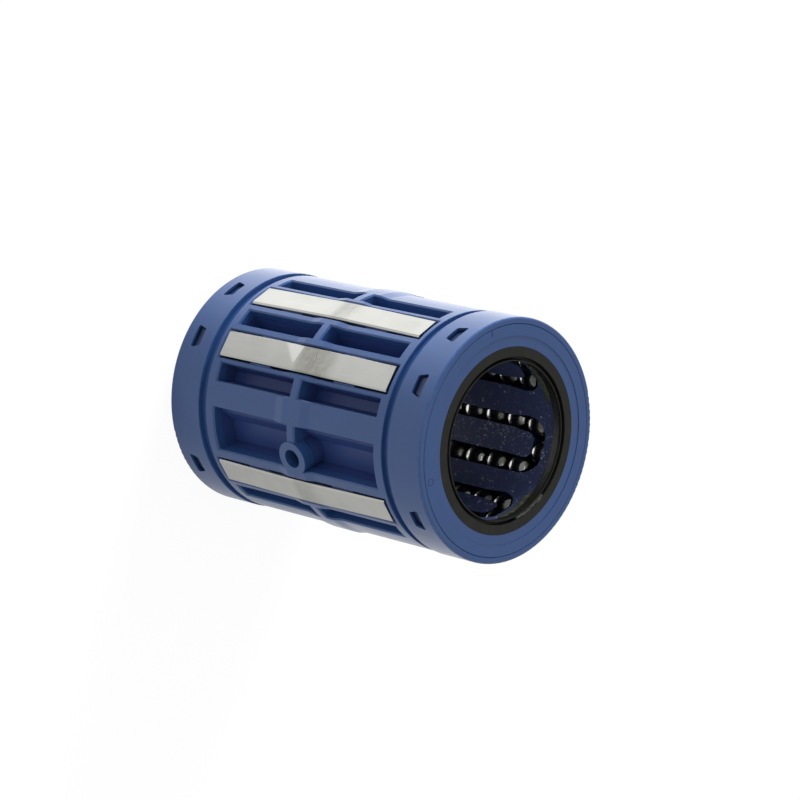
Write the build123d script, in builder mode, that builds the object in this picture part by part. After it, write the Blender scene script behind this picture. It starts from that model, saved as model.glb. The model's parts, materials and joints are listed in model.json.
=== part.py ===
"""Closed self-aligning linear ball bushing for a 30 mm shaft.

Millimetres. The bushing stands on its rear end: +Z runs along the shaft axis, the rear
end face lies on Z = 0 and the locating hole points towards -Y. Six ball circuits run in
an inner cage. Each has a loaded row under a rocking steel raceway plate and a return row
beside it, joined by a turnaround at each end. An outer sleeve holds the plates, and a
snapped-in cap with a wiper seal closes each end.
"""

from build123d import *
from math import ceil, cos, pi, radians, sin, sqrt
import os

os.makedirs("parts", exist_ok=True)

# How far cuts reach past the material, and how near two lengths count as equal
cut_margin = 1.0
tolerance = 0.01

# Overall sizes and seat
shaft_diameter = 30.0
housing_bore = 47.0
length = 68.0
ring_diameter = 46.6
body_diameter = 46.2

# Housing clip grooves, 51.7 mm over their outer walls
end_ring_length = 8.15
groove_width = 1.85
groove_floor_diameter = 44.5

# Balls and circuits: azimuth of the loaded row and of its return row, in degrees
ball_diameter = 5.556
shaft_play = 0.02
return_lift = 0.37
track_clearance = 0.07
ball_gap = 0.03
path_step = 0.03
turn_depth = 5.95
turn_corner = 3.0
ramp_length = 4.0
circuits = (
    (191.2, 161.8),
    (222.3, 251.0),
    (288.3, 318.5),
    (346.6, 375.2),
    (44.3, 73.8),
    (133.0, 104.5),
)

# Inner cage and outer sleeve
cage_bore_diameter = 31.2
cage_diameter = 41.9
sleeve_clearance = 0.05
valley_floor_radius = 18.4
valley_floor_width = 2.0

# Raceway plates
plate_width = 5.3
plate_land = 1.45
plate_edge_radius = 23.15
plate_underside_radius = 19.95
plate_crown_length = 5.0
plate_bevel = 0.3
tongue_length = 1.1
tongue_thickness = 0.6
groove_conformity = 1.04
groove_play = 0.06
groove_relief_angle = 0.7
plate_gap = 0.3
plate_float = 0.3

# Sleeve windows, rims and locating hole
crown_length = 4.8
crown_slope_length = 2.3
crown_height = 0.38
pocket_angle = 8.6
pocket_inset = 0.85
pocket_rib = 2.2
pocket_corner = 0.3
edge_break = 0.3
bevel_facets = 4
nib_length = 5.5
nib_offset = 11.4
nib_gap = 0.08
nib_top_drop = 0.45
locating_azimuth = 270.0
locating_hole_diameter = 3.7
locating_boss_diameter = 6.8
locating_hole_floor_radius = 17.2
wide_pocket_low_edge = 6.3
wide_pocket_high_edge = 2.3
wide_valley_low_edge = 2.2
wide_valley_slope_edge = 5.6
wide_valley_floor_radius = 18.2

# End caps and their snap lugs
cap_depth = 2.4
cap_seat_diameter = 44.08
cap_seat_clearance = 0.04
cap_skirt_depth = 5.45
cap_skirt_gap = 0.15
cap_step_radius = 19.8
cap_step_depth = 0.12
slot_top = 2.8
slot_height = 2.3
slot_wide = 4.9
slot_narrow = 3.5
slot_corner = 0.4
lug_clearance = 0.25
lug_corner = 0.2
lug_radius = 22.5
edge_round = 0.45
groove_edge_round = 0.15
rim_bevel = 0.12
pin_mark_radius = 20.7
pin_mark_azimuth = 268.5
pin_mark_diameter = 1.4
pin_mark_depth = 0.08
pin_mark_line = 0.12
tick_azimuth = 178.5
tick_width = 0.35
tick_length = 1.2

# Wiper seals
seal_seat_diameter = 35.58
seal_seat_clearance = 0.03
seal_flange_radius = 18.6
seal_flange_depth = 1.0
seal_groove_outer_radius = 15.9
seal_groove_depth = 1.15
seal_lip_root_radius = 15.4
seal_lip_tip_radius = 15.22
seal_lip_setback = 0.25
seal_face_setback = 0.1
seal_back_radius = 15.3
seal_lip_contact = 0.5

# Values that follow
middle = length / 2
ball_radius = ball_diameter / 2
shaft_radius = shaft_diameter / 2
load_radius = shaft_radius + shaft_play + ball_radius
return_radius = load_radius + return_lift
turn_radius = sqrt(return_radius**2 - turn_corner**2)
track_radius = ball_radius + track_clearance
cage_radius = cage_diameter / 2
sleeve_inner_radius = cage_radius + sleeve_clearance
ring_radius = ring_diameter / 2
body_radius = body_diameter / 2
crown_radius = housing_bore / 2
cap_seat_radius = cap_seat_diameter / 2
row_end = length - turn_depth - turn_corner
groove_span = length - 2 * end_ring_length
plate_length = groove_span - 2 * (groove_width + plate_land)
pocket_outer_end = plate_length / 2 - pocket_inset
window_width = plate_width + 2 * plate_gap
window_length = plate_length + 2 * plate_gap
pocket_width = 2 * ring_radius * sin(radians(pocket_angle / 2))
pocket_length = pocket_outer_end - pocket_rib / 2
pocket_centre = pocket_rib / 2 + pocket_length / 2
pocket_spans = ((-pocket_outer_end, -pocket_rib / 2), (pocket_rib / 2, pocket_outer_end))
plate_seat_radius = plate_underside_radius - plate_float
groove_radius = ball_radius * groove_conformity
groove_bottom = load_radius + ball_radius + groove_play
load_azimuths = [load for load, _ in circuits]
row_azimuths = sorted(azimuth % 360 for pair in circuits for azimuth in pair)
row_gaps = zip(row_azimuths, row_azimuths[1:] + [row_azimuths[0] + 360])
pocket_azimuths = [
    (here + there) / 2 for here, there in row_gaps if not here < locating_azimuth < there
]

profile_plane = Plane(origin=(0, 0, middle), x_dir=(1, 0, 0), z_dir=(0, -1, 0))


def face_plane(azimuth, radius=0.0):
    """Plane square to the radial direction, its origin at mid length and its y axis along Z."""
    angle = radians(azimuth)
    outward = Vector(cos(angle), sin(angle), 0)
    origin = outward * radius + Vector(0, 0, middle)
    return Plane(origin=origin, x_dir=(-sin(angle), cos(angle), 0), z_dir=outward)


def row_plane(azimuth, height=0.0):
    """Plane square to Z whose x axis points out along a row."""
    return Plane.XY.offset(height).rotated((0, 0, azimuth))


def on_cylinder(radius, azimuth, height):
    """Point at a radius, an azimuth in degrees and a height."""
    return Vector(radius * cos(radians(azimuth)), radius * sin(radians(azimuth)), height)


def surface_radius(height):
    """Outer radius of the sleeve's crowned middle at a distance from mid length."""
    rise = (crown_length / 2 + crown_slope_length - abs(height)) / crown_slope_length
    return body_radius + crown_height * min(max(rise, 0), 1)


def edge_bevel(azimuth, low, high, foot, head):
    """Cutter that bevels the outer edges of an opening, which runs from one side and one
    end to the other. It follows the crown, and its ends are mitred."""
    bends = [side * bend for side in (-1, 1)
             for bend in (crown_length / 2, crown_length / 2 + crown_slope_length)]
    levels = sorted([foot, head] + [bend for bend in bends if foot < bend < head])
    sections = [(level, edge_break) for level in levels]
    sections = [(foot - edge_break, 0), *sections, (head + edge_break, 0)]
    top = crown_radius + cut_margin
    with BuildPart() as bevel:
        for level, depth in sections:
            start = low - edge_break + depth
            width = high - low + 2 * (edge_break - depth)
            across = [start + width * step / bevel_facets for step in range(bevel_facets + 1)]
            floor = [(sqrt(surface_radius(level) ** 2 - x**2) - depth, x) for x in across]
            with BuildSketch(row_plane(azimuth, middle + level)):
                with BuildLine():
                    Polyline(
                        *floor,
                        (top, across[-1] + top - floor[-1][0]),
                        (top, across[0] - top + floor[0][0]),
                        close=True,
                    )
                make_face()
        loft(ruled=True)
    return bevel.part


def corner_points(azimuth, side, end):
    """Start, middle and end of the quarter turn that leaves a row sideways at one end."""
    plane = face_plane(azimuth, turn_radius)
    shares = ((0, 0), (1 - cos(pi / 4), sin(pi / 4)), (1, 1))
    return [
        plane.from_local_coords(
            (side * turn_corner * across, end * (row_end - middle + turn_corner * along))
        )
        for across, along in shares
    ]


def circuit_path(load, back):
    """Closed line that the ball centres follow round one circuit."""
    side = 1 if back > load else -1
    straight = row_end - middle - ramp_length
    up_turn = (corner_points(load, side, 1), corner_points(back, -side, 1))
    down_turn = (corner_points(back, -side, -1), corner_points(load, side, -1))
    load_foot, load_head = (on_cylinder(load_radius, load, middle + end * straight)
                            for end in (-1, 1))
    back_foot, back_head = (on_cylinder(return_radius, back, middle + end * straight)
                            for end in (-1, 1))
    with BuildLine() as path:
        for foot, head, (leaving, arriving) in (
            (load_foot, load_head, up_turn),
            (back_head, back_foot, down_turn),
        ):
            Line(foot, head)
            Line(head, leaving[0])
            ThreePointArc(*leaving)
            Line(leaving[-1], arriving[-1])
            ThreePointArc(*reversed(arriving))
        Line(up_turn[1][0], back_head)
        Line(down_turn[1][0], load_foot)
    return path.wire()


def ball_centres(path):
    """Centres of touching balls along a closed circuit, from the foot of its loaded row."""
    pitch = ball_diameter + ball_gap
    steps = ceil(path.length / path_step)
    first = path.position_at(0)
    centres = [first]
    for step in range(1, steps):
        point = path.position_at(step / steps)
        clear = (point - centres[-1]).length >= pitch
        if clear and (step < steps / 2 or (point - first).length >= pitch):
            centres.append(point)
    return centres


paths = [circuit_path(load, back) for load, back in circuits]

# Outer sleeve: end rings, clip grooves, crowned middle and the inner seats of the caps
with BuildPart() as outer_sleeve:
    with BuildSketch(profile_plane):
        with BuildLine():
            Polyline(
                (sleeve_inner_radius, 0),
                (body_radius + crown_height, 0),
                (body_radius + crown_height, crown_length / 2),
                (body_radius, crown_length / 2 + crown_slope_length),
                (body_radius, groove_span / 2 - groove_width),
                (groove_floor_diameter / 2, groove_span / 2 - groove_width),
                (groove_floor_diameter / 2, groove_span / 2),
                (ring_radius, groove_span / 2),
                (ring_radius, middle),
                (cap_seat_radius + rim_bevel, middle),
                (cap_seat_radius, middle - rim_bevel),
                (cap_seat_radius, middle - cap_skirt_depth - cap_skirt_gap),
                (sleeve_inner_radius, middle - cap_skirt_depth - cap_skirt_gap),
                close=True,
            )
        make_face()
        mirror(about=Plane.XZ)
    revolve(axis=Axis.Z)
    levels = outer_sleeve.edges().filter_by(GeomType.CIRCLE).group_by(Axis.Z)
    fillet([levels[end].sort_by(SortBy.RADIUS)[-1] for end in (0, -1)], edge_round)
    groove_walls = (groove_span / 2, groove_span / 2 - groove_width)
    groove_levels = [
        level for level in outer_sleeve.edges().filter_by(GeomType.CIRCLE).group_by(Axis.Z)
        if any(abs(abs(level[0].center().Z - middle) - wall) < tolerance for wall in groove_walls)
    ]
    fillet([level.sort_by(SortBy.RADIUS)[-1] for level in groove_levels], groove_edge_round)

    # Windows for the plates, the nibs that centre them, and the slots for the cap lugs
    for azimuth in load_azimuths:
        with BuildSketch(face_plane(azimuth, plate_underside_radius)):
            Rectangle(window_width, window_length)
        extrude(amount=crown_radius - plate_underside_radius + cut_margin, mode=Mode.SUBTRACT)
        add(edge_bevel(azimuth, -window_width / 2, window_width / 2,
                       -window_length / 2, window_length / 2), mode=Mode.SUBTRACT)
        with BuildSketch(face_plane(azimuth, sleeve_inner_radius + nib_top_drop)):
            nib_reach = plate_gap - nib_gap
            with Locations(*[(side * (window_width - nib_reach) / 2, end * nib_offset)
                             for side in (-1, 1) for end in (-1, 1)]):
                Rectangle(nib_reach, nib_length)
        extrude(amount=body_radius - sleeve_inner_radius - 2 * nib_top_drop)
        with BuildSketch(face_plane(azimuth, cap_seat_radius - cut_margin)) as slots:
            for end in (-1, 1):
                with BuildLine():
                    Polyline(
                        (-slot_wide / 2, end * (middle - slot_top)),
                        (slot_wide / 2, end * (middle - slot_top)),
                        (slot_narrow / 2, end * (middle - slot_top - slot_height)),
                        (-slot_narrow / 2, end * (middle - slot_top - slot_height)),
                        close=True,
                    )
                make_face()
            fillet(slots.vertices(), slot_corner)
        extrude(amount=ring_radius - cap_seat_radius + 2 * cut_margin, mode=Mode.SUBTRACT)

    # Narrow pockets between the rows, in pairs with a rib at mid length
    for azimuth in pocket_azimuths:
        with BuildSketch(face_plane(azimuth, cage_radius - cut_margin)) as pocket:
            with Locations((0, pocket_centre), (0, -pocket_centre)):
                Rectangle(pocket_width, pocket_length)
            fillet(pocket.vertices(), pocket_corner)
        extrude(amount=ring_radius - cage_radius + 2 * cut_margin, mode=Mode.SUBTRACT)
        for foot, head in pocket_spans:
            add(edge_bevel(azimuth, -pocket_width / 2, pocket_width / 2, foot, head),
                mode=Mode.SUBTRACT)

    # Wide pocket round the locating boss, which a rib ties to the plain land beside it
    with BuildSketch(face_plane(locating_azimuth, cage_radius - cut_margin)) as wide_pocket:
        wide = wide_pocket_low_edge + wide_pocket_high_edge
        with Locations(*[((wide_pocket_high_edge - wide_pocket_low_edge) / 2, end * pocket_centre)
                         for end in (-1, 1)]):
            Rectangle(wide, pocket_length)
        fillet(wide_pocket.vertices(), pocket_corner)
    extrude(amount=ring_radius - cage_radius + 2 * cut_margin, mode=Mode.SUBTRACT)
    for foot, head in pocket_spans:
        add(edge_bevel(locating_azimuth, -wide_pocket_low_edge, wide_pocket_high_edge, foot, head),
            mode=Mode.SUBTRACT)
    with BuildSketch(face_plane(locating_azimuth, sleeve_inner_radius)):
        Circle(locating_boss_diameter / 2)
    extrude(amount=surface_radius(0) - sleeve_inner_radius)
    with BuildSketch(face_plane(locating_azimuth, sleeve_inner_radius - cut_margin)):
        Circle(locating_hole_diameter / 2)
    extrude(amount=ring_radius - sleeve_inner_radius + 2 * cut_margin, mode=Mode.SUBTRACT)

outer_sleeve.part.label = "outer_sleeve"
export_step(outer_sleeve.part, "parts/outer_sleeve.step")

# Ball tracks: the room that a ball and its clearance sweep along each circuit
tracks = []
for path in paths:
    with BuildPart() as track:
        for stretch in path.edges():
            with BuildSketch(Plane(origin=stretch @ 0, z_dir=stretch % 0)):
                Circle(track_radius)
            sweep(path=stretch)
        with Locations(*[vertex.center() for vertex in path.vertices()]):
            Sphere(track_radius)
    tracks.append(track.part)

# Wide valley: the hollow under the wide pocket, sloped on one side, round the boss
with BuildPart() as wide_valley:
    for foot, _ in pocket_spans:
        with BuildSketch(row_plane(locating_azimuth, middle + foot)):
            with BuildLine():
                Polyline(
                    (wide_valley_floor_radius, -wide_valley_low_edge),
                    (sleeve_inner_radius, -wide_valley_slope_edge),
                    (sleeve_inner_radius, wide_pocket_high_edge),
                    (wide_valley_floor_radius, wide_pocket_high_edge),
                    close=True,
                )
            make_face()
        extrude(amount=pocket_length)
    with BuildSketch(face_plane(locating_azimuth)):
        Circle(locating_boss_diameter / 2)
    extrude(amount=crown_radius, mode=Mode.SUBTRACT)

# Inner cage: open to the bore along every track, hollowed between the rows
with BuildPart() as inner_cage:
    with BuildSketch(Plane.XY.offset(cap_depth)):
        Circle(cage_radius)
        Circle(cage_bore_diameter / 2, mode=Mode.SUBTRACT)
    extrude(amount=length - 2 * cap_depth)
    for azimuth in load_azimuths:
        with BuildSketch(face_plane(azimuth, plate_seat_radius)):
            Rectangle(window_width, window_length + 2 * tongue_length)
        extrude(amount=cage_radius, mode=Mode.SUBTRACT)
    for azimuth in pocket_azimuths:
        for foot, _ in pocket_spans:
            with BuildSketch(row_plane(azimuth, middle + foot)):
                with BuildLine():
                    Polyline(
                        (valley_floor_radius, -valley_floor_width / 2),
                        (sleeve_inner_radius, -pocket_width / 2),
                        (sleeve_inner_radius, pocket_width / 2),
                        (valley_floor_radius, valley_floor_width / 2),
                        close=True,
                    )
                make_face()
            extrude(amount=pocket_length, mode=Mode.SUBTRACT)
    add(wide_valley.part, mode=Mode.SUBTRACT)
    with BuildSketch(face_plane(locating_azimuth, locating_hole_floor_radius)):
        Circle(locating_hole_diameter / 2)
    extrude(amount=cage_radius, mode=Mode.SUBTRACT)
    for track_part in tracks:
        add(track_part, mode=Mode.SUBTRACT)

inner_cage.part.label = "inner_cage"
export_step(inner_cage.part, "parts/inner_cage.step")

# Raceway plates: ground steel, crowned outside, with a groove inside that eases off to its ends
for number, azimuth in enumerate(load_azimuths, 1):
    outward = on_cylinder(1, azimuth, 0)
    side_plane = Plane(origin=(0, 0, middle), x_dir=outward,
                       z_dir=on_cylinder(1, azimuth - 90, 0))
    with BuildPart() as raceway_plate:
        with BuildSketch(side_plane):
            with BuildLine():
                Polyline(
                    (plate_underside_radius, 0),
                    (crown_radius, 0),
                    (crown_radius, plate_crown_length / 2),
                    (plate_edge_radius, plate_length / 2),
                    (plate_underside_radius + tongue_thickness, plate_length / 2),
                    (plate_underside_radius + tongue_thickness, plate_length / 2 + tongue_length),
                    (plate_underside_radius, plate_length / 2 + tongue_length),
                    close=True,
                )
            make_face()
            mirror(about=Plane.XZ)
        extrude(amount=plate_width / 2, both=True)
        long_edges = [
            edge for edge in raceway_plate.edges()
            if abs(abs(side_plane.to_local_coords(edge.center()).Z) - plate_width / 2) < tolerance
            and side_plane.to_local_coords(edge.center()).X > plate_edge_radius
        ]
        chamfer(long_edges, plate_bevel)
        groove_start = outward * (groove_bottom - groove_radius) + Vector(0, 0, middle)
        for end in (-1, 1):
            lean = outward * sin(radians(groove_relief_angle)) + Vector(0, 0, end)
            with BuildSketch(Plane(origin=groove_start - lean, z_dir=lean)):
                Circle(groove_radius)
            extrude(amount=plate_length, mode=Mode.SUBTRACT)
    raceway_plate.part.label = f"raceway_plate_{number}"
    export_step(raceway_plate.part, f"parts/raceway_plate_{number}.step")

# Balls: chrome steel, one group under each plate and one in its return row and turns
for number, (path, (load, back)) in enumerate(zip(paths, circuits), 1):
    loaded = []
    returning = []
    for centre in ball_centres(path):
        under_plate = (centre - on_cylinder(load_radius, load, centre.Z)).length < tolerance
        (loaded if under_plate else returning).append(centre)
    for name, centres in (("load_balls", loaded), ("return_balls", returning)):
        with BuildPart() as balls:
            with Locations(*centres):
                Sphere(ball_radius)
        balls.part.label = f"{name}_{number}"
        export_step(balls.part, f"parts/{name}_{number}.step")

# End caps: a face ring on the cage, a skirt inside the sleeve and six snap lugs in its slots
for name, end in (("end_cap_front", 1), ("end_cap_rear", -1)):
    cap_radius = cap_seat_radius - cap_seat_clearance
    flange_seat = seal_flange_radius + seal_seat_clearance
    with BuildPart() as end_cap:
        with BuildSketch(profile_plane):
            with BuildLine():
                Polyline(
                    (seal_seat_diameter / 2, end * (middle - cap_step_depth)),
                    (cap_step_radius, end * (middle - cap_step_depth)),
                    (cap_step_radius, end * middle),
                    (cap_radius - rim_bevel, end * middle),
                    (cap_radius, end * (middle - rim_bevel)),
                    (cap_radius, end * (middle - cap_skirt_depth)),
                    (sleeve_inner_radius, end * (middle - cap_skirt_depth)),
                    (sleeve_inner_radius, end * (middle - cap_depth)),
                    (flange_seat, end * (middle - cap_depth)),
                    (flange_seat, end * (middle - cap_depth + seal_flange_depth)),
                    (seal_seat_diameter / 2, end * (middle - cap_depth + seal_flange_depth)),
                    close=True,
                )
            make_face()
        revolve(axis=Axis.Z)
        for azimuth in load_azimuths:
            with BuildSketch(face_plane(azimuth, sleeve_inner_radius + lug_clearance)) as lug:
                with BuildLine():
                    wide_edge = end * (middle - slot_top - lug_clearance)
                    narrow_edge = end * (middle - slot_top - slot_height + lug_clearance)
                    Polyline(
                        (-slot_wide / 2 + lug_clearance, wide_edge),
                        (slot_wide / 2 - lug_clearance, wide_edge),
                        (slot_narrow / 2 - lug_clearance, narrow_edge),
                        (-slot_narrow / 2 + lug_clearance, narrow_edge),
                        close=True,
                    )
                make_face()
                fillet(lug.vertices(), lug_corner)
            extrude(amount=lug_radius - sleeve_inner_radius - lug_clearance)
        if end == 1:
            with BuildSketch(Plane.XY.offset(length - pin_mark_depth)):
                with Locations(on_cylinder(pin_mark_radius, pin_mark_azimuth, 0)):
                    Circle(pin_mark_diameter / 2)
                    Circle(pin_mark_diameter / 2 - pin_mark_line, mode=Mode.SUBTRACT)
                tick_middle = on_cylinder(cap_radius - tick_length / 2, tick_azimuth, 0)
                with Locations(Location(tick_middle, (0, 0, tick_azimuth))):
                    Rectangle(tick_length, tick_width)
            extrude(amount=cap_depth, mode=Mode.SUBTRACT)
    end_cap.part.label = name
    export_step(end_cap.part, f"parts/{name}.step")

# Wiper seals: a flange held under the cap, a flat face and a thin lip behind a groove
for name, end in (("seal_front", 1), ("seal_rear", -1)):
    seal_radius = seal_seat_diameter / 2 - seal_seat_clearance
    face = middle - seal_face_setback
    lip_face = middle - seal_lip_setback
    with BuildPart() as seal:
        with BuildSketch(profile_plane):
            with BuildLine():
                Polyline(
                    (seal_back_radius, end * (middle - cap_depth)),
                    (seal_flange_radius, end * (middle - cap_depth)),
                    (seal_flange_radius, end * (middle - cap_depth + seal_flange_depth)),
                    (seal_radius, end * (middle - cap_depth + seal_flange_depth)),
                    (seal_radius, end * face),
                    (seal_groove_outer_radius, end * face),
                    (seal_groove_outer_radius, end * (face - seal_groove_depth)),
                    (seal_lip_root_radius, end * (face - seal_groove_depth)),
                    (seal_lip_tip_radius, end * lip_face),
                    (shaft_radius, end * lip_face),
                    (shaft_radius, end * (lip_face - seal_lip_contact)),
                    close=True,
                )
            make_face()
        revolve(axis=Axis.Z)
    seal.part.label = name
    export_step(seal.part, f"parts/{name}.step")
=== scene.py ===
"""Looks of a closed linear ball bushing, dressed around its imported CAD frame.

Metres, in the frame of the CAD model: +Z runs along the shaft axis and the bushing stands on
its rear end. Materials read Object coordinates, which are the frame's own, so a mark is put
at a radius, an azimuth and a height on the bushing.
"""

from __future__ import annotations

import json
import logging
import math
from dataclasses import dataclass, field
from enum import Enum
from typing import Sequence, Union

import bpy
import numpy as np
from mathutils import Matrix, Vector

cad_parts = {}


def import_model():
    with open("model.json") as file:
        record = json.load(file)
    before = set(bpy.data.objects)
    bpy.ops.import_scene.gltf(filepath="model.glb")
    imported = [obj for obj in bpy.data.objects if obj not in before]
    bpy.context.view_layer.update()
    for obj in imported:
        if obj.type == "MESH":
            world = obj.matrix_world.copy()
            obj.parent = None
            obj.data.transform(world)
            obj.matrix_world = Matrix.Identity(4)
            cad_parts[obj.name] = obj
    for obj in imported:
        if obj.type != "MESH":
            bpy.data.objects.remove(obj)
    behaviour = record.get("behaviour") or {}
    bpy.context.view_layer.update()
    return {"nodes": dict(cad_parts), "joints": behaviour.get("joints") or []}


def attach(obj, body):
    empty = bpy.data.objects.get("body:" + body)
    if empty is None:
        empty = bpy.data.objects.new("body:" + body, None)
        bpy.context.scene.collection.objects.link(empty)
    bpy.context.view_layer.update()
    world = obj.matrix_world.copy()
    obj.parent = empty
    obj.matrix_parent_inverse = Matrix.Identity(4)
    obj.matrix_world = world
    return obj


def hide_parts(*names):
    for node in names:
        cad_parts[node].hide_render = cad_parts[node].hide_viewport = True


MM = 0.001
LENGTH = 68.0 * MM
MIDDLE = LENGTH / 2
SEAL_RADIUS = 15.2 * MM
# Azimuth of the bore wall that faces the camera. Balls of circuits farther from it than the reach
# below, in degrees, get darker chrome as painted shade.
CAMERA_WALL_AZIMUTH = 59.0
LIT_BALL_REACH = 30.0
SEED_STEP = 0.37

log = logging.getLogger("ball_bushing")

Number = Union[float, "Wire"]
Colour = tuple[float, float, float]


class Body(Enum):
    """Bodies of the frame that new pieces ride on."""

    HOUSING = "housing_part"


class Slot(Enum):
    """Material slots of the record, which no piece in this script uses."""

    BALL = "ball_steel"
    RUBBER = "seal_rubber"


def linear(red: int, green: int, blue: int) -> Colour:
    """Turns a display colour into the linear colour that shaders take.

    Args:
        red: Display red, 0 to 255.
        green: Display green, 0 to 255.
        blue: Display blue, 0 to 255.

    Returns:
        The linear red, green and blue.
    """
    shares = np.array((red, green, blue)) / 255
    curve = np.where(shares <= 0.04045, shares / 12.92, ((shares + 0.055) / 1.055) ** 2.4)
    return tuple(float(value) for value in curve)


class Wire:
    """One output socket of a shader, with arithmetic that adds Math nodes."""

    def __init__(self, recipe: "Recipe", socket: bpy.types.NodeSocket) -> None:
        """Keeps the socket and the recipe that owns it."""
        self.recipe = recipe
        self.socket = socket

    def __add__(self, other: Number) -> "Wire":
        """Sum of two values."""
        return self.recipe.math("ADD", self, other)

    __radd__ = __add__

    def __sub__(self, other: Number) -> "Wire":
        """Difference of two values."""
        return self.recipe.math("SUBTRACT", self, other)

    def __rsub__(self, other: Number) -> "Wire":
        """Difference with this value on the right."""
        return self.recipe.math("SUBTRACT", other, self)

    def __mul__(self, other: Number) -> "Wire":
        """Product of two values."""
        return self.recipe.math("MULTIPLY", self, other)

    __rmul__ = __mul__

    def __pow__(self, other: Number) -> "Wire":
        """Power of two values."""
        return self.recipe.math("POWER", self, other)

    def __abs__(self) -> "Wire":
        """Size of the value without its sign."""
        return self.recipe.math("ABSOLUTE", self)

    def fade(self, start: float, end: float) -> "Wire":
        """Smooth step over the value.

        Args:
            start: Value at which the step is 0.
            end: Value at which the step is 1, below start for a falling step.

        Returns:
            A wire that runs from 0 to 1.
        """
        step = self.recipe.node(
            "ShaderNodeMapRange",
            {"interpolation_type": "SMOOTHSTEP", "clamp": True},
            {"Value": self, "From Min": start, "From Max": end},
        )
        return Wire(self.recipe, step.outputs["Result"])

    def near(self, centre: float, reach: float) -> "Wire":
        """Soft band about a value.

        Args:
            centre: Value at which the band is 1.
            reach: Distance from the centre at which it has faded to 0.

        Returns:
            A wire that runs from 0 to 1.
        """
        return abs(self - centre).fade(reach, 0.0)


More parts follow.
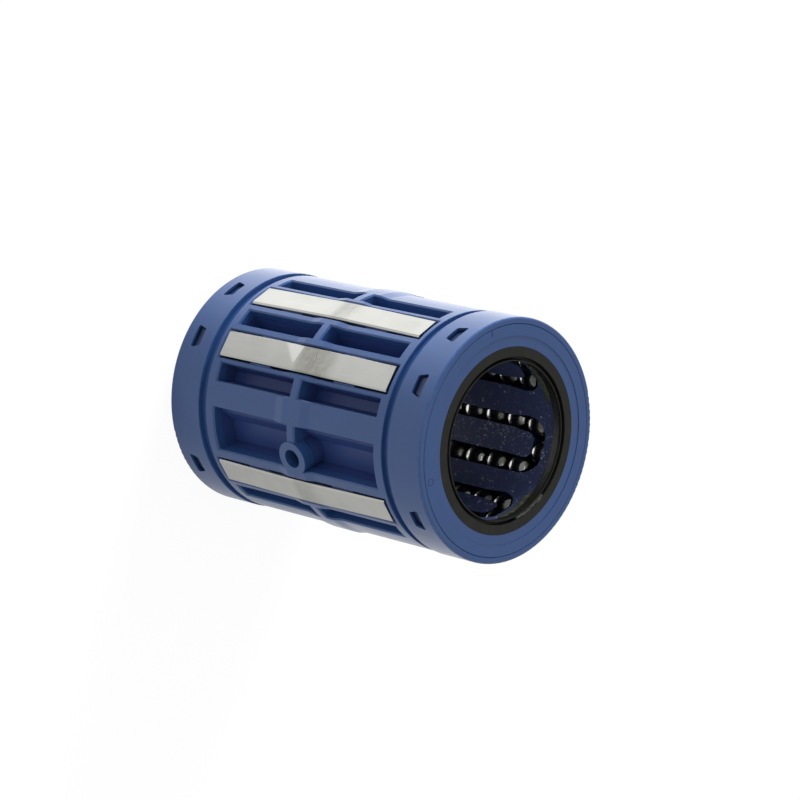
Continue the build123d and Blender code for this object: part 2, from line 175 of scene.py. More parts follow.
class Recipe:
    """Node tree of one material, written as expressions."""

    def __init__(self, name: str) -> None:
        """Starts an empty material of that name with a Principled shader."""
        self.material = bpy.data.materials.new(name)
        self.material.use_nodes = True
        self.tree = self.material.node_tree
        self.tree.nodes.clear()
        self.output = self.node("ShaderNodeOutputMaterial")
        self.shader = self.node("ShaderNodeBsdfPrincipled")
        self.tree.links.new(self.shader.outputs["BSDF"], self.output.inputs["Surface"])
        self.place = Wire(self, self.node("ShaderNodeTexCoord").outputs["Object"])

    def node(
        self, kind: str, settings: dict | None = None, values: dict | None = None
    ) -> bpy.types.Node:
        """Adds one node.

        Args:
            kind: Type of the node.
            settings: Properties, which are set first.
            values: Numbers, vectors or wires by socket name or index.

        Returns:
            The node.
        """
        made = self.tree.nodes.new(kind)
        for key, value in (settings or {}).items():
            setattr(made, key, value)
        for key, value in (values or {}).items():
            if isinstance(value, Wire):
                self.tree.links.new(value.socket, made.inputs[key])
            else:
                made.inputs[key].default_value = value
        return made

    def math(self, operation: str, *values: Number) -> Wire:
        """Adds a Math node.

        Args:
            operation: Name of its operation.
            values: Numbers or wires that it works on.

        Returns:
            Its result.
        """
        made = self.node("ShaderNodeMath", {"operation": operation}, dict(enumerate(values)))
        return Wire(self, made.outputs[0])

    def mix(self, share: Number, first: Colour | Wire, second: Colour | Wire) -> Wire:
        """Mixes two colours.

        Args:
            share: Share of the second colour.
            first: Linear colour or wire.
            second: Linear colour or wire.

        Returns:
            The mixed colour.
        """
        pair = {
            key: value if isinstance(value, Wire) else (*value, 1.0)
            for key, value in (("A_Color", first), ("B_Color", second))
        }
        made = self.node("ShaderNodeMix", {"data_type": "RGBA"})
        for socket in made.inputs:
            if socket.identifier in pair:
                self.feed(socket, pair[socket.identifier])
        self.feed(made.inputs["Factor"], share)
        result = [s for s in made.outputs if s.identifier == "Result_Color"][0]
        return Wire(self, result)

    def feed(self, socket: bpy.types.NodeSocket, value: Number | Sequence[float]) -> None:
        """Links a wire to a socket, or sets the socket to a number or a colour.

        Args:
            socket: Input socket.
            value: Wire, number or colour with its alpha.
        """
        if isinstance(value, Wire):
            self.tree.links.new(value.socket, socket)
        else:
            socket.default_value = value

    def noise(
        self, grain: float, detail: float = 2.0, roughness: float = 0.5,
        stretch: Sequence[float] = (1.0, 1.0, 1.0), shift: float = 0.0,
    ) -> Wire:
        """Cloudy noise about 0.5.

        Args:
            grain: Size of its features in metres.
            detail: Finer layers on top.
            roughness: Strength of the finer layers.
            stretch: Length of the features along X, Y and Z, in grains.
            shift: Place in the noise, so that two pieces differ.

        Returns:
            The noise value.
        """
        mapped = self.node(
            "ShaderNodeMapping", None,
            {"Vector": self.place, "Location": (shift, shift, shift),
             "Scale": tuple(1 / length for length in stretch)},
        )
        made = self.node(
            "ShaderNodeTexNoise", None,
            {"Vector": Wire(self, mapped.outputs[0]), "Scale": 1 / grain,
             "Detail": detail, "Roughness": roughness},
        )
        return Wire(self, made.outputs["Fac"])

    def specks(self, spacing: float, size: float, shift: float = 0.0) -> Wire:
        """Scattered round specks, 1 on a speck and 0 between.

        Args:
            spacing: Mean distance between specks in metres.
            size: Radius of a speck as a share of the spacing.
            shift: Place in the pattern.

        Returns:
            The speck mask.
        """
        mapped = self.node(
            "ShaderNodeMapping", None,
            {"Vector": self.place, "Location": (shift, shift, shift)},
        )
        made = self.node(
            "ShaderNodeTexVoronoi", None,
            {"Vector": Wire(self, mapped.outputs[0]), "Scale": 1 / spacing},
        )
        core = size * 0.4
        return Wire(self, made.outputs["Distance"]).fade(size, core)

    def radius(self) -> Wire:
        """Distance from the shaft axis, in metres."""
        x, y, _ = self.parts()
        return (x * x + y * y) ** 0.5

    def azimuth(self) -> Wire:
        """Angle about the shaft axis in degrees, from -180 to 180."""
        x, y, _ = self.parts()
        return self.math("ARCTAN2", y, x) * math.degrees(1)

    def turned(self, azimuth: float) -> tuple[Wire, Wire]:
        """Turns the place about the shaft axis.

        Args:
            azimuth: Angle about the axis in degrees.

        Returns:
            Coordinates out along that azimuth and across it, in metres.
        """
        x, y, _ = self.parts()
        cosine, sine = math.cos(math.radians(azimuth)), math.sin(math.radians(azimuth))
        return x * cosine + y * sine, y * cosine - x * sine

    def height(self) -> Wire:
        """Height over the rear end face, in metres."""
        return self.parts()[2]

    def parts(self) -> tuple[Wire, Wire, Wire]:
        """The three coordinates of the place."""
        made = self.node("ShaderNodeSeparateXYZ", None, {"Vector": self.place})
        return tuple(Wire(self, socket) for socket in made.outputs)

    def bump(self, height: Wire, depth: float, onto: Wire | None = None) -> Wire:
        """Relief normal.

        Args:
            height: Relief from 0 to 1.
            depth: Height of the relief at 1, in metres.
            onto: Normal of a coarser relief below, if any.

        Returns:
            The normal.
        """
        values = {"Height": height, "Distance": depth, "Strength": 1.0}
        if onto is not None:
            values["Normal"] = onto
        made = self.node("ShaderNodeBump", None, values)
        return Wire(self, made.outputs["Normal"])

    def finish(
        self, colour: Colour | Wire, roughness: Number, metallic: Number = 0.0,
        normal: Wire | None = None, **constants: float,
    ) -> bpy.types.Material:
        """Feeds the Principled shader.

        Args:
            colour: Base colour.
            roughness: Roughness.
            metallic: Metallic share.
            normal: Normal with its relief.
            constants: Other sockets by name, with underscores for spaces.

        Returns:
            The material.
        """
        base = colour if isinstance(colour, Wire) else (*colour, 1.0)
        self.feed(self.shader.inputs["Base Color"], base)
        self.feed(self.shader.inputs["Roughness"], roughness)
        self.feed(self.shader.inputs["Metallic"], metallic)
        if normal is not None:
            self.feed(self.shader.inputs["Normal"], normal)
        for key, value in constants.items():
            self.shader.inputs[key.replace("_", " ")].default_value = value
        return self.material


@dataclass(frozen=True)
class BlueMoulding:
    """Satin blue acetal of the sleeve and the caps, with painted highlights along its edges.

    The painted edge highlights lie on the rims of the end faces, the inner edges of the caps and
    the long sides of the plates' windows. The catch windows of the caps get painted shade inside.
    A reach is a distance from mid length along the axis, in metres.
    """

    name: str
    colour: Colour = linear(36, 68, 119)
    pale: Colour = linear(64, 95, 148)
    shade: Colour = linear(14, 26, 58)
    roughness: float = 0.36
    cloud_share: float = 0.2
    rub_share: float = 0.22
    edge_highlight_share: float = 0.4
    shade_share: float = 0.75
    surface_radius: float = 23.0 * MM
    rim_reach: float = MIDDLE - 0.2 * MM
    cap_reach: float = 25.85 * MM
    window_reach: float = 23.0 * MM
    window_side: float = 3.1 * MM
    catch_radius: float = 22.75 * MM
    catch_start: float = 28.6 * MM
    catch_end: float = 31.6 * MM

    def material(self, windows: Sequence[float] = ()) -> bpy.types.Material:
        """Cloudy colour, fine moulded grain, pale rubs, painted edge highlights and painted shade
        in the catch windows.

        Args:
            windows: Azimuths in degrees of windows whose edges get a painted highlight.

        Returns:
            The material.
        """
        recipe = Recipe(self.name)
        cloud = recipe.noise(9 * MM, 3.0)
        grain = recipe.noise(0.25 * MM, 2.0)
        scuff = recipe.noise(1.3 * MM, 5.0, 0.7, (1.0, 1.0, 0.35))
        rub = recipe.noise(3 * MM, 4.0, 0.7).fade(0.6, 0.78)
        reach = abs(recipe.height() - MIDDLE)
        outside = recipe.radius().fade(self.surface_radius - 0.3 * MM, self.surface_radius)
        # Painted highlight: pale lines along the end rims, the inner cap edges and the window
        # sides.
        edge_highlight_and_stain_band = reach.near(self.rim_reach, 0.4 * MM) + reach.near(self.cap_reach, 0.25 * MM)
        for azimuth in windows:
            out, across = recipe.turned(azimuth)
            side = abs(across).near(self.window_side, 0.28 * MM) * out.fade(0.0, MM)
            side = side * reach.fade(self.window_reach + 0.3 * MM, self.window_reach)
            edge_highlight_and_stain_band = recipe.math("MAXIMUM", edge_highlight_and_stain_band, side)
        edge_highlight_and_stain_band = edge_highlight_and_stain_band * outside * scuff.fade(0.35, 0.65)
        base = recipe.mix(cloud * self.cloud_share, self.colour, self.pale)
        base = recipe.mix(rub * self.rub_share, base, self.pale)
        base = recipe.mix(edge_highlight_and_stain_band * self.edge_highlight_share, base, self.pale)
        # Painted shade: the catch windows of the caps are darkened inside.
        catch_painted_shade = recipe.radius().fade(self.catch_radius + 0.2 * MM, self.catch_radius)
        catch_painted_shade = catch_painted_shade * reach.fade(self.catch_start - 0.3 * MM, self.catch_start)
        catch_painted_shade = catch_painted_shade * reach.fade(self.catch_end + 0.3 * MM, self.catch_end)
        base = recipe.mix(catch_painted_shade * self.shade_share, base, self.shade)
        rough = self.roughness + (cloud - 0.5) * 0.14 + (scuff - 0.5) * 0.1 + rub * 0.06
        relief = recipe.bump(grain, 0.006 * MM)
        relief = recipe.bump(scuff, 0.006 * MM, relief)
        relief = recipe.bump(recipe.noise(2.5 * MM, 1.0), 0.03 * MM, relief)
        return recipe.finish(base, rough, normal=relief, IOR=1.45, Coat_Weight=0.55,
                             Coat_IOR=1.2, Coat_Roughness=0.2)


@dataclass(frozen=True)
class CageMoulding:
    """Darker acetal of the cage, speckled with grease in the bore.

    The specks crowd within crowd_reach degrees of the azimuth CAMERA_WALL_AZIMUTH.
    """

    name: str
    colour: Colour = linear(46, 65, 119)
    bore: Colour = linear(60, 68, 104)
    fleck: Colour = linear(176, 184, 196)
    bore_radius: float = 16.2 * MM
    roughness: float = 0.42
    fleck_share: float = 0.75
    crowd_reach: float = 22.0

    def material(self) -> bpy.types.Material:
        """Cloudy colour that greys in the bore, with pale flecks of grease there."""
        recipe = Recipe(self.name)
        inside = recipe.radius().fade(self.bore_radius + 1.2 * MM, self.bore_radius)
        cloud = recipe.noise(6 * MM, 3.0)
        base = recipe.mix(inside, self.colour, self.bore)
        crowd = recipe.azimuth().near(CAMERA_WALL_AZIMUTH, self.crowd_reach)
        patches = recipe.noise(2.2 * MM, 2.0).fade(0.42, 0.6)
        fine = recipe.specks(0.5 * MM, 0.38) * patches
        coarse = recipe.specks(1.2 * MM, 0.24, 0.5) * patches
        flecks = inside * recipe.math("MAXIMUM", fine * (0.3 + crowd * 0.7), coarse)
        base = recipe.mix(flecks * self.fleck_share, base, self.fleck)
        rough = self.roughness + (cloud - 0.5) * 0.15 - flecks * 0.2
        relief = recipe.bump(recipe.noise(0.3 * MM, 2.0), 0.008 * MM)
        relief = recipe.bump(flecks, 0.05 * MM, relief)
        return recipe.finish(base, rough, normal=relief, IOR=1.45, Specular_IOR_Level=0.3)


@dataclass(frozen=True)
class PlateMarks:
    """Handling marks of one raceway plate, and a painted highlight on its crown.

    A stain lies between two heights and a thin line crosses the plate at a third, all in metres
    over the rear end face. The other numbers are the strengths of the stain, the line and the pale
    triangle, which is a painted highlight.
    """

    stain_start: float = 33.0 * MM
    stain_end: float = 38.0 * MM
    stain: float = 0.3
    cross: float = 36.3 * MM
    cross_share: float = 0.7
    glint: float = 0.0


@dataclass(frozen=True)
class GroundSteel:
    """Ground steel of one raceway plate, handled and stained near mid length."""

    name: str
    azimuth: float
    seed: float
    marks: PlateMarks = PlateMarks()
    colour: Colour = (0.462, 0.462, 0.44)
    pale: Colour = (0.62, 0.62, 0.6)
    stain: Colour = (0.27, 0.265, 0.24)
    line: Colour = (0.12, 0.12, 0.11)
    roughness: float = 0.3
    cloud_share: float = 0.14
    streak_share: float = 0.2
    glint_start: float = 29.3 * MM
    glint_end: float = 32.0 * MM

    def material(self) -> bpy.types.Material:
        """Warm grey metal with mottled handling marks, a thin line across the crown and a painted
        highlight.

        The pale triangle is a painted highlight. It lies between two slanting edges, one falling
        by 0.25 and one rising by 0.96 for each unit across the plate, and fades out across it.
        """
        recipe = Recipe(self.name)
        marks = self.marks
        height = recipe.height()
        _, across = recipe.turned(self.azimuth)
        mottle = recipe.noise(2.2 * MM, 5.0, 0.65, shift=self.seed)
        fine = recipe.noise(0.5 * MM, 4.0, 0.7, shift=self.seed)
        cloud = recipe.noise(7 * MM, 2.0, shift=self.seed)
        grind = recipe.noise(0.12 * MM, 2.0, stretch=(1.0, 1.0, 30.0), shift=self.seed)
        streak = recipe.noise(0.9 * MM, 3.0, 0.6, (1.0, 1.0, 9.0), self.seed)
        edge_highlight_and_stain_band = height.fade(marks.stain_start, marks.stain_start + 2 * MM)
        edge_highlight_and_stain_band = edge_highlight_and_stain_band * height.fade(marks.stain_end + MM, marks.stain_end - 3 * MM)
        blot = edge_highlight_and_stain_band * (0.45 + mottle.fade(0.38, 0.62) * 0.35 + fine.fade(0.4, 0.6) * 0.2)
        base = recipe.mix(cloud.fade(0.4, 0.7) * self.cloud_share, self.colour, self.stain)
        base = recipe.mix(streak.fade(0.55, 0.75) * self.streak_share, base, self.pale)
        base = recipe.mix(blot * marks.stain, base, self.stain)
        # Painted highlight: a pale triangle on the crown, where the marks ask for one.
        glint = (height + across * 0.25).fade(self.glint_end, self.glint_end - 0.4 * MM)
        lower = height - across * 0.96
        glint = glint * lower.fade(self.glint_start, self.glint_start + 1.5 * MM)
        glint = glint * across.fade(1.9 * MM, 0.5 * MM) * marks.glint
        base = recipe.mix(glint, base, self.pale)
        wander = (recipe.noise(1.5 * MM, 2.0, shift=self.seed) - 0.5) * (0.8 * MM)
        cross = (height + wander).near(marks.cross, 0.09 * MM)
        cross = cross * across.fade(1.4 * MM, 0.2 * MM)
        base = recipe.mix(cross * marks.cross_share, base, self.line)
        rough = self.roughness + (cloud - 0.5) * 0.1 + blot * 0.14 + (grind - 0.5) * 0.08
        rough = rough - glint * 0.08
        relief = recipe.bump(grind, 0.0015 * MM)
        relief = recipe.bump(fine, 0.002 * MM, relief)
        return recipe.finish(base, rough, 1.0, relief)


@dataclass(frozen=True)
class BallSteel:
    """Polished chrome steel under an oily film."""

    name: str
    colour: Colour = (0.21, 0.21, 0.2)
    film: Colour = (0.07, 0.07, 0.062)
    roughness: float = 0.1
    film_share: float = 0.85

    def material(self) -> bpy.types.Material:
        """Bright metal, dulled in patches by grease."""
        recipe = Recipe(self.name)
        film = recipe.noise(2.4 * MM, 3.0)
        dull = film.fade(0.42, 0.62)
        base = recipe.mix(dull * self.film_share, self.colour, self.film)
        relief = recipe.bump(recipe.noise(0.4 * MM, 2.0), 0.004 * MM)
        return recipe.finish(base, self.roughness + dull * 0.16, 1.0, relief)


@dataclass(frozen=True)
class SealRubber:
    """Dark brown-black wiper seal, a little dusty and greasy."""

    name: str
    colour: Colour = linear(24, 24, 22)
    dust: Colour = linear(44, 43, 37)
    roughness: float = 0.46
    dust_share: float = 0.5

    def material(self) -> bpy.types.Material:
        """Matt rubber with fine grain and a dusty bloom."""
        recipe = Recipe(self.name)
        bloom = recipe.noise(2.0 * MM, 4.0, 0.6)
        base = recipe.mix(bloom.fade(0.45, 0.75) * self.dust_share, self.colour, self.dust)
        relief = recipe.bump(recipe.noise(0.15 * MM, 3.0), 0.012 * MM)
        rough = self.roughness + (bloom - 0.5) * 0.25
        return recipe.finish(base, rough, normal=relief, Specular_IOR_Level=0.22)


@dataclass(frozen=True)
class Grease:
    """Dark grey-green grease, wet on its lumps."""

    name: str
    colour: Colour = linear(58, 63, 55)
    pale: Colour = linear(116, 122, 110)
    roughness: float = 0.42
    pale_share: float = 0.4

    def material(self) -> bpy.types.Material:
        """Mottled wet grease."""
        recipe = Recipe(self.name)
        mottle = recipe.noise(1.2 * MM, 3.0, 0.6)
        base = recipe.mix(mottle.fade(0.5, 0.75) * self.pale_share, self.colour, self.pale)
        relief = recipe.bump(mottle, 0.03 * MM)
        return recipe.finish(base, self.roughness + mottle * 0.3, normal=relief)


def place_mesh(
    name: str, points: np.ndarray, faces: np.ndarray, material: bpy.types.Material
) -> bpy.types.Object:
    """Makes a smooth object at the origin from points in the frame's own coordinates.

    Args:
        name: Name of the object and its mesh.
        points: Points, one row each, in metres.
        faces: Corner numbers, one row for each four-sided face.
        material: Its material.

    Returns:
        The object, linked to the scene.
    """
    mesh = bpy.data.meshes.new(name)
    mesh.from_pydata(points.tolist(), [], faces.tolist())
    mesh.polygons.foreach_set("use_smooth", np.ones(len(faces), dtype=bool))
    mesh.materials.append(material)
    mesh.update()
    made = bpy.data.objects.new(name, mesh)
    bpy.context.scene.collection.objects.link(made)
    return made


def quad_sphere(cuts: int) -> tuple[np.ndarray, np.ndarray]:
    """Unit sphere from the six sides of a cube, each a square grid.

    A side's grid of angles a and b, each from -45 to 45 degrees, gives the direction
    (tan a, tan b, 1), which is scaled to length 1 and turned to the six sides. Points that
    neighbouring sides share are merged, so the surface is closed.

    Args:
        cuts: Faces along each edge of the cube.

    Returns:
        Unit points and four-sided faces whose normals point outwards.
    """
    steps = np.tan(np.linspace(-math.pi / 4, math.pi / 4, cuts + 1))
    across, along = np.meshgrid(steps, steps, indexing="ij")
    side = np.stack([across, along, np.ones_like(across)], axis=-1).reshape(-1, 3)
    turns = [side[:, list(order)] for order in ((0, 1, 2), (1, 2, 0), (2, 0, 1))]
    points = np.concatenate(turns + [-turn for turn in turns])
    points /= np.linalg.norm(points, axis=1, keepdims=True)
    row, column = np.meshgrid(np.arange(cuts), np.arange(cuts), indexing="ij")
    corner = (row * (cuts + 1) + column).ravel()
    square = np.stack([corner, corner + cuts + 1, corner + cuts + 2, corner + 1], axis=1)
    count = (cuts + 1) ** 2
    faces = [square + count * number for number in range(3)]
    faces += [square[:, ::-1] + count * number for number in range(3, 6)]
    _, first, merged = np.unique(
        np.round(points, 6), axis=0, return_index=True, return_inverse=True
    )
    return points[first], merged.reshape(-1)[np.concatenate(faces)]


@dataclass
class Housing:
    """Sleeve, cage, caps and seals, which keep their CAD meshes."""

    nodes: dict[str, bpy.types.Object]
    windows: list[float]

    def dress(self, name: str, material: bpy.types.Material) -> None:
        """Gives one CAD piece its material.

        Args:
            name: Node name of the piece.
            material: Its material.
        """
        mesh = self.nodes[name].data
        mesh.materials.clear()
        mesh.materials.append(material)
        log.info("dressed %s in %s", name, material.name)

    def build(self) -> None:
        """Dresses the sleeve, the cage, the two caps and the two seals."""
        self.dress("outer_sleeve", BlueMoulding("blue_sleeve").material(self.windows))
        self.dress("inner_cage", CageMoulding("navy_cage").material())
        cap = BlueMoulding("blue_cap").material()
        rubber = SealRubber("black_rubber").material()
        for end in ("front", "rear"):
            self.dress(f"end_cap_{end}", cap)
            self.dress(f"seal_{end}", rubber)


@dataclass
class Circuit:
    """One raceway plate and the balls of its circuit."""

    housing: Housing
    number: int
    azimuth: float
    chrome: bpy.types.Material
    marks: PlateMarks
    ball_radius: float = 2.778 * MM
    cuts: int = 12

    def build(self) -> None:
        """Dresses the plate and puts smooth balls over the faceted ones."""
        steel = GroundSteel(
            f"ground_plate_{self.number}", self.azimuth, self.number * SEED_STEP, self.marks
        )
        self.housing.dress(f"raceway_plate_{self.number}", steel.material())
        for row in ("load_balls", "return_balls"):
            self.balls(f"{row}_{self.number}")

    def centres(self, node: str) -> np.ndarray:
        """Centres of a node's separate balls.

        A point's centre is about one ball radius behind it along its normal. Points whose
        centres agree to within half a radius are one ball, and the middle of their box is
        its centre.

        Args:
            node: Name of the CAD node.

        Returns:
            One row for each ball, in metres.
        """
        mesh = self.housing.nodes[node].data
        count = len(mesh.vertices)
        points, normals = (np.empty(count * 3, dtype=np.float32) for _ in range(2))
        mesh.vertices.foreach_get("co", points)
        mesh.vertices.foreach_get("normal", normals)
        points = points.reshape(-1, 3).astype(float)
        guesses = points - normals.reshape(-1, 3) * self.ball_radius
        found = []
        while len(points):
            mine = np.linalg.norm(guesses - guesses[0], axis=1) < self.ball_radius / 2
            found.append((points[mine].min(axis=0) + points[mine].max(axis=0)) / 2)
            points, guesses = points[~mine], guesses[~mine]
        return np.array(found)

    def balls(self, node: str) -> None:
        """Makes the smooth balls of one node as one piece.

        Args:
            node: Name of the CAD node that they replace.
        """
        centres = self.centres(node)
        unit, faces = quad_sphere(self.cuts)
        points = (centres[:, None, :] + unit[None] * self.ball_radius).reshape(-1, 3)
        offsets = np.arange(len(centres))[:, None, None] * len(unit)
        corners = (faces[None] + offsets).reshape(-1, 4)
        piece = place_mesh(f"smooth_{node}", points, corners, self.chrome)
        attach(piece, Body.HOUSING.value)
        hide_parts(node)
        log.info("placed %s with %d balls", piece.name, len(centres))


@dataclass
class Smear:
    """A lumpy smear of grease round the front of the bore, made of overlapping dabs."""

    name: str
    azimuth: float
    length: float
    material: bpy.types.Material
    radius: float = 15.4 * MM
    width: float = 0.55 * MM
    thickness: float = 1.7 * MM
    height: float = 65.6 * MM
    dabs: int = 4
    cuts: int = 10
    lumps: float = 0.22
    uneven: float = 0.15
    overlap: float = 1.2

    def build(self) -> None:
        """Spreads flattened lumpy spheres along the bore.

        The dabs are spaced evenly along the smear. Each is a sphere whose unit point
        (u, v, w) gets the reach 1 - lumps + lumps times a product of sines of its
        coordinates. Its angle grows with u, its radius with v and its height with w, and a
        sine of its number sets its size and its place across the smear.
        """
        unit, faces = quad_sphere(self.cuts)
        points = []
        for dab in range(self.dabs):
            swing = math.sin(2.4 * dab + self.azimuth)
            waves = np.sin(unit @ np.array((4.0, 3.0, 2.0)) + dab + self.azimuth)
            waves = waves * np.sin(unit @ np.array((-3.0, 3.0, 4.0)) + swing)
            lumpy = unit * (1 - self.lumps + self.lumps * waves)[:, None]
            lumpy = lumpy * (1 - self.uneven + self.uneven * swing)
            along = (dab + 0.5) / self.dabs - 0.5 + self.overlap * lumpy[:, 0] / self.dabs
            along = along * self.length
            angle = math.radians(self.azimuth) + along / self.radius
            reach = self.radius + (0.45 * lumpy[:, 1] + 0.12 * swing) * self.width
            height = self.height + lumpy[:, 2] * self.thickness
            points.append(np.stack([reach * np.cos(angle), reach * np.sin(angle), height], axis=1))
        offsets = np.arange(self.dabs)[:, None, None] * len(unit)
        corners = (faces[None, :, ::-1] + offsets).reshape(-1, 4)
        piece = place_mesh(self.name, np.concatenate(points), corners, self.material)
        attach(piece, Body.HOUSING.value)
        log.info("placed %s", piece.name)


@dataclass
class Studio:
    """Camera, pale floor, lamps and white surroundings.

    Glossy rays see a bright card on the floor between two floor azimuths, which lights the
    upper side of the bushing in the picture, and a spot under its bore. The azimuths are in
    degrees from 0 to 360.
    """

    place: Vector = field(default_factory=lambda: Vector((-246.558, -399.392, 484.568)) * MM)
    look: Vector = field(default_factory=lambda: Vector((0.376889, 0.619536, -0.688571)))
    up: Vector = field(default_factory=lambda: Vector((-0.912175, 0.377398, -0.159717)))
    lens: float = 152.236
    sensor: float = 36.0
    clip: tuple[float, float] = (0.01, 50.0)
    floor_size: float = 4.0
    surround: float = 0.7
    card_dark: float = 30.0
    card_bright: float = 60.0
    card_start: float = 172.0
    card_end: float = 225.0
    card_strength: float = 1.8
    opening_strength: float = 3.6
    floor_glow: float = 0.87
    floor_white: float = 1.045
    mirror_glow: float = 0.38
    key_azimuth: float = 142.0
    key_elevation: float = 10.0
    key_distance: float = 0.7
    key_side: float = 0.24
    key_power: float = 7.0
    strip_way: Vector = field(default_factory=lambda: Vector((-0.26, -0.43, 0.866)))
    strip_distance: float = 0.8
    strip_sides: tuple[float, float] = (0.5, 0.03)
    strip_power: float = 0.2
    centre: Vector = field(default_factory=lambda: Vector((0.0, 0.0, MIDDLE)))

    def build(self) -> None:
        """Makes the camera, the floor, the world and the lamps."""
        self.camera()
        self.floor()
        self.world()
        turn, rise = math.radians(self.key_azimuth), math.radians(self.key_elevation)
        way = Vector((math.cos(turn) * math.cos(rise), math.sin(turn) * math.cos(rise),
                      math.sin(rise)))
        key_sides = (self.key_side, self.key_side)
        key = self.lamp("key", way, self.key_distance, key_sides, self.key_power)
        key.visible_glossy = False
        self.lamp("strip", self.strip_way, self.strip_distance, self.strip_sides,
                  self.strip_power)
        bpy.context.scene.view_settings.view_transform = "Standard"

    def camera(self) -> None:
        """Places the camera at the viewing angle, with its roll."""
        data = bpy.data.cameras.new("camera")
        data.lens, data.sensor_width = self.lens, self.sensor
        data.clip_start, data.clip_end = self.clip
        back = -self.look.normalized()
        side = self.up.cross(back).normalized()
        upright = back.cross(side)
        camera = bpy.data.objects.new("camera", data)
        camera.matrix_world = Matrix.Translation(self.place) @ Matrix(
            (side, upright, back)
        ).transposed().to_4x4()
        bpy.context.scene.collection.objects.link(camera)
        bpy.context.scene.camera = camera

    def floor(self) -> None:
        """Lays the pale floor under the bushing, which keeps its shadow.

        Mixed over its matt surface are a white glow for camera rays, a fainter one for glossy
        rays, and for glossy rays the bright card and the spot under the bore.
        """
        half = self.floor_size / 2
        mesh = bpy.data.meshes.new("floor")
        corners = [(-half, -half, 0), (half, -half, 0), (half, half, 0), (-half, half, 0)]
        mesh.from_pydata(corners, [], [(0, 1, 2, 3)])
        floor = bpy.data.objects.new("floor", mesh)
        bpy.context.scene.collection.objects.link(floor)
        recipe = Recipe("pale_floor")
        recipe.finish((0.9, 0.9, 0.9), 0.9, Specular_IOR_Level=0.0)
        rays = recipe.node("ShaderNodeLightPath")
        seen, mirrored = (Wire(recipe, rays.outputs[key])
                          for key in ("Is Camera Ray", "Is Glossy Ray"))
        x, y, _ = recipe.parts()
        turn = recipe.math("ARCTAN2", -1.0 * y, -1.0 * x) * math.degrees(1) + 180
        card = mirrored * turn.fade(self.card_end, self.card_start)
        card = card * turn.fade(self.card_dark, self.card_bright)
        opening = mirrored * recipe.radius().fade(SEAL_RADIUS + 0.4 * MM, SEAL_RADIUS)
        glow_share = seen * self.floor_glow + mirrored * self.mirror_glow
        surface = recipe.shader.outputs["BSDF"]
        glows = (
            (glow_share, self.floor_white),
            (card, self.card_strength),
            (opening, self.opening_strength),
        )
        for share, strength in glows:
            glow = recipe.node("ShaderNodeEmission", None,
                               {"Color": (1, 1, 1, 1), "Strength": strength})
            blend = recipe.node("ShaderNodeMixShader", None, {0: share})
            recipe.tree.links.new(surface, blend.inputs[1])
            recipe.tree.links.new(glow.outputs["Emission"], blend.inputs[2])
            surface = blend.outputs["Shader"]
        recipe.tree.links.new(surface, recipe.output.inputs["Surface"])
        mesh.materials.append(recipe.material)

    def world(self) -> None:
        """Lights softly from all round and shows plain white to the camera."""
        world = bpy.data.worlds.new("white_room")
        bpy.context.scene.world = world
        world.use_nodes = True
        tree = world.node_tree
        tree.nodes.clear()
        output = tree.nodes.new("ShaderNodeOutputWorld")
        soft = tree.nodes.new("ShaderNodeBackground")
        soft.inputs["Strength"].default_value = self.surround
        white = tree.nodes.new("ShaderNodeBackground")
        for background in (soft, white):
            background.inputs["Color"].default_value = (1, 1, 1, 1)
        white.inputs["Strength"].default_value = 1.0
        rays = tree.nodes.new("ShaderNodeLightPath")
        blend = tree.nodes.new("ShaderNodeMixShader")
        tree.links.new(rays.outputs["Is Camera Ray"], blend.inputs[0])
        tree.links.new(soft.outputs[0], blend.inputs[1])
        tree.links.new(white.outputs[0], blend.inputs[2])
        tree.links.new(blend.outputs[0], output.inputs["Surface"])

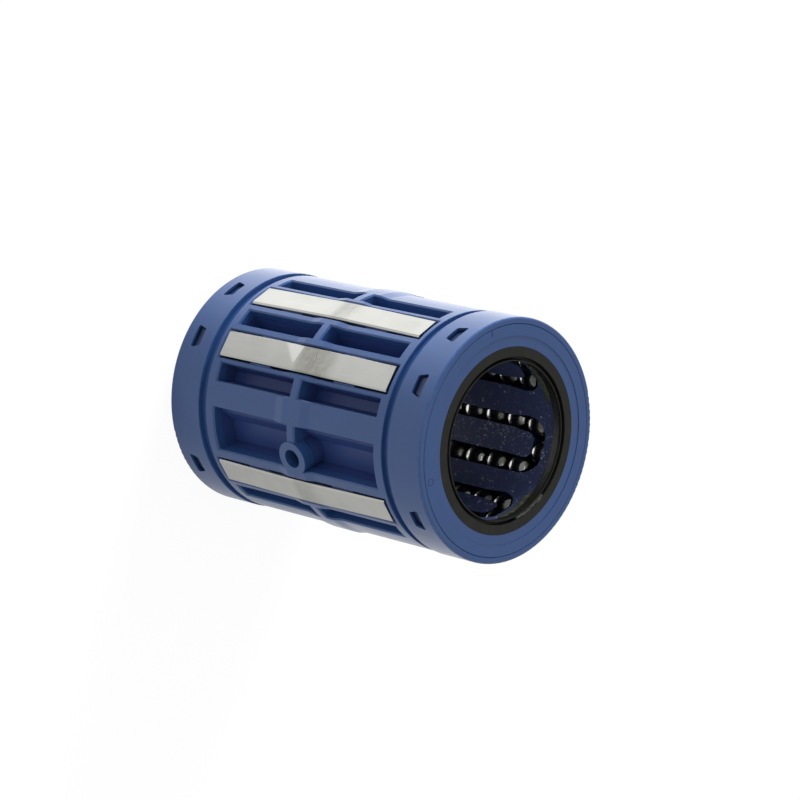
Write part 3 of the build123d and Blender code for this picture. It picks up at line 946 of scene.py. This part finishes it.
    def lamp(
        self, name: str, way: Vector, distance: float, size: tuple[float, float], power: float
    ) -> bpy.types.Object:
        """Hangs one area lamp that faces the bushing, its long side level.

        Args:
            name: Name of the lamp.
            way: Direction from the bushing to the lamp.
            distance: Distance to the bushing in metres.
            size: Level side and upright side of the lamp in metres.
            power: Power in watts.

        Returns:
            The lamp, linked to the scene.
        """
        data = bpy.data.lights.new(name, "AREA")
        data.shape, data.energy = "RECTANGLE", power
        data.size, data.size_y = size
        lamp = bpy.data.objects.new(name, data)
        back = way.normalized()
        side = Vector((0.0, 0.0, 1.0)).cross(back).normalized()
        lamp.matrix_world = Matrix.Translation(self.centre + back * distance) @ Matrix(
            (side, back.cross(side), back)
        ).transposed().to_4x4()
        bpy.context.scene.collection.objects.link(lamp)
        return lamp


def main() -> None:
    """Loads the frame, dresses it, adds the balls and the grease and sets the studio."""
    logging.basicConfig(level=logging.INFO, format="%(name)s: %(message)s")
    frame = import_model()
    places = [joint["pos_m"] for joint in frame["joints"]]
    azimuths = [math.degrees(math.atan2(place[1], place[0])) for place in places]
    housing = Housing(frame["nodes"], azimuths)
    housing.build()
    facing_chrome = BallSteel("chrome_balls").material()
    # Darker chrome for circuits away from the wall that faces the camera: painted shade, with a
    # greasier film.
    shaded_greasy = BallSteel(
        "shaded_greasy_balls", colour=(0.13, 0.13, 0.125), film=(0.035, 0.035, 0.03)
    ).material()
    seen_marks = {
        1: PlateMarks(stain_start=32 * MM, stain_end=38 * MM, stain=0.5, cross_share=1.0),
        2: PlateMarks(stain_start=31.4 * MM, stain_end=42 * MM, stain=0.85, cross=36.6 * MM,
                      glint=1.0),
        3: PlateMarks(stain_start=31.5 * MM, stain_end=38.5 * MM, stain=0.45, cross=33.2 * MM,
                      cross_share=0.3),
    }
    for number, azimuth in enumerate(azimuths, 1):
        marks = seen_marks.get(number, PlateMarks())
        chrome = facing_chrome if abs(azimuth - CAMERA_WALL_AZIMUTH) < LIT_BALL_REACH else shaded_greasy
        log.info("circuit %d at %.1f degrees has %s", number, azimuth, chrome.name)
        Circuit(housing, number, azimuth, chrome, marks).build()
    grease = Grease("dark_grease").material()
    Smear("grease_smear_lower", 8.0, 8.0 * MM, grease).build()
    Smear("grease_smear_rim", 12.0, 7.0 * MM, grease, radius=15.8 * MM, width=1.5 * MM,
          thickness=0.4 * MM, height=67.55 * MM).build()
    Smear("grease_smear_upper", 112.0, 9.0 * MM, grease, height=64.7 * MM,
          thickness=1.3 * MM).build()
    Studio().build()


if __name__ == "__main__":
    main()
